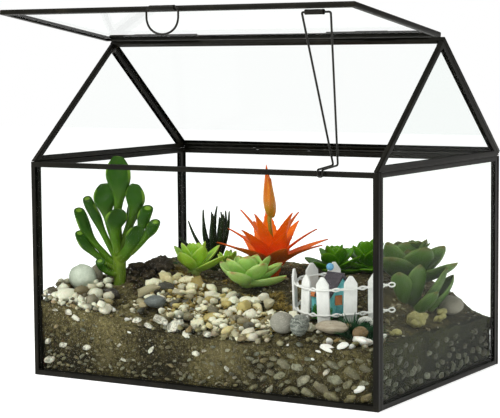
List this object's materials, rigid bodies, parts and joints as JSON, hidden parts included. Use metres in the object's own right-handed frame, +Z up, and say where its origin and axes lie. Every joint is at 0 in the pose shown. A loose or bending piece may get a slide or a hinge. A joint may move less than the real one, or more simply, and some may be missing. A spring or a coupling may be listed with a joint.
{
  "type": "planted glass terrarium",
  "caption": "House-shaped terrarium of glass panes in black metal channel with a hinged roof pane on a wire prop, holding soil, pebbles, succulents and a fenced toy cottage.",
  "frame": {"origin": "middle of the base, straight under the ridge, on the surface the box stands on", "axes": "+Z up; +X along the ridge, towards the end with the wire prop; -Y towards the side that the hinged roof pane opens on"},
  "size_m": [0.25, 0.2114, 0.2363],
  "materials": {
    "black_metal": "satin black with an olive cast",
    "clear_glass": "clear polished sheet",
    "soil": "loose, matt and gritty",
    "gravel_front": "matt rounded pebbles",
    "gravel_left": "matt rounded pebbles",
    "jade_leaf": "waxy fleshy leaf",
    "aloe_leaf": "satin dark leaf",
    "bromeliad_orange": "satin leaf",
    "bromeliad_flame": "satin bract",
    "rosette_lime": "waxy leaf",
    "echeveria_blue": "waxy leaf with a bloom",
    "echeveria_grey": "waxy leaf with a bloom",
    "rosette_dark": "waxy leaf",
    "hedge_green": "matt",
    "boulder_white": "smooth",
    "rock_dark": "rough",
    "stone_slate": "smooth",
    "stone_grey": "smooth",
    "stone_green": "smooth, veined",
    "stone_beige": "smooth, banded",
    "stone_brown": "smooth",
    "stone_right": "smooth",
    "stone_ochre": "smooth",
    "fence_white": "white paint",
    "house_turquoise": "painted",
    "house_roof": "painted shingles",
    "house_orange": "painted",
    "house_ball": "painted",
    "shelter_white": "unglazed"
  },
  "bodies": {
    "case": {"boulder_white": "boulder_white", "bromeliad": "bromeliad_orange", "bromeliad_flame": "bromeliad_flame", "dark_aloe": "aloe_leaf", "echeveria": "echeveria_blue", "echeveria_grey": "echeveria_grey", "fence": "fence_white", "frame_back": "black_metal", "frame_base": "black_metal", "frame_front": "black_metal", "frame_gable_left": "black_metal", "frame_gable_right": "black_metal", "frame_left": "black_metal", "frame_right": "black_metal", "frame_roof_back": "black_metal", "glass_back": "clear_glass", "glass_base": "clear_glass", "glass_front": "clear_glass", "glass_gable_left": "clear_glass", "glass_gable_right": "clear_glass", "glass_left": "clear_glass", "glass_right": "clear_glass", "glass_roof_back": "clear_glass", "gravel_front": "gravel_front", "gravel_left": "gravel_left", "hedge": "hedge_green", "hinge_pin_left": "black_metal", "hinge_pin_right": "black_metal", "hinge_tube_left_inner": "black_metal", "hinge_tube_left_outer": "black_metal", "hinge_tube_right_inner": "black_metal", "hinge_tube_right_outer": "black_metal", "house_ball": "house_ball", "house_roof": "house_roof", "house_walls": "house_turquoise", "house_window": "house_orange", "house_wing_roof": "house_orange", "jade": "jade_leaf", "rock_dark": "rock_dark", "rosette_dark_left": "rosette_dark", "rosette_dark_right": "rosette_dark", "rosette_lime_large": "rosette_lime", "rosette_lime_small": "rosette_lime", "shelter": "shelter_white", "soil": "soil", "stone_beige": "stone_beige", "stone_brown": "stone_brown", "stone_green": "stone_green", "stone_grey": "stone_grey", "stone_ochre": "stone_ochre", "stone_right": "stone_right", "stone_slate": "stone_slate"},
    "lid": {"frame_lid": "black_metal", "glass_lid": "clear_glass", "hinge_tube_left_lid": "black_metal", "hinge_tube_right_lid": "black_metal", "sleeve_ring": "black_metal", "sleeve_prop": "black_metal"},
    "prop": {"prop": "black_metal"},
    "ring": {"ring": "black_metal"}
  },
  "joints": [
    {"name": "lid_hinge", "type": "hinge", "parent": "case", "child": "lid", "pos_m": [0, 0, 0.2193], "axis": [1, 0, 0], "range_deg": [-25, 48.3]},
    {"name": "prop_swing", "type": "hinge", "parent": "lid", "child": "prop", "pos_m": [0.0885, -0.1149, 0.23053], "axis": [1, 0, 0], "range_deg": [-30, 55]},
    {"name": "ring_swing", "type": "hinge", "parent": "lid", "child": "ring", "pos_m": [-0.0015, -0.11955, 0.23474], "axis": [1, 0, 0], "range_deg": [-50, 30]}
  ],
  "couplings": [
    {"joint": "prop_swing", "follows": "lid_hinge", "ratio": 1.06},
    {"joint": "ring_swing", "follows": "lid_hinge", "ratio": -1}
  ]
}
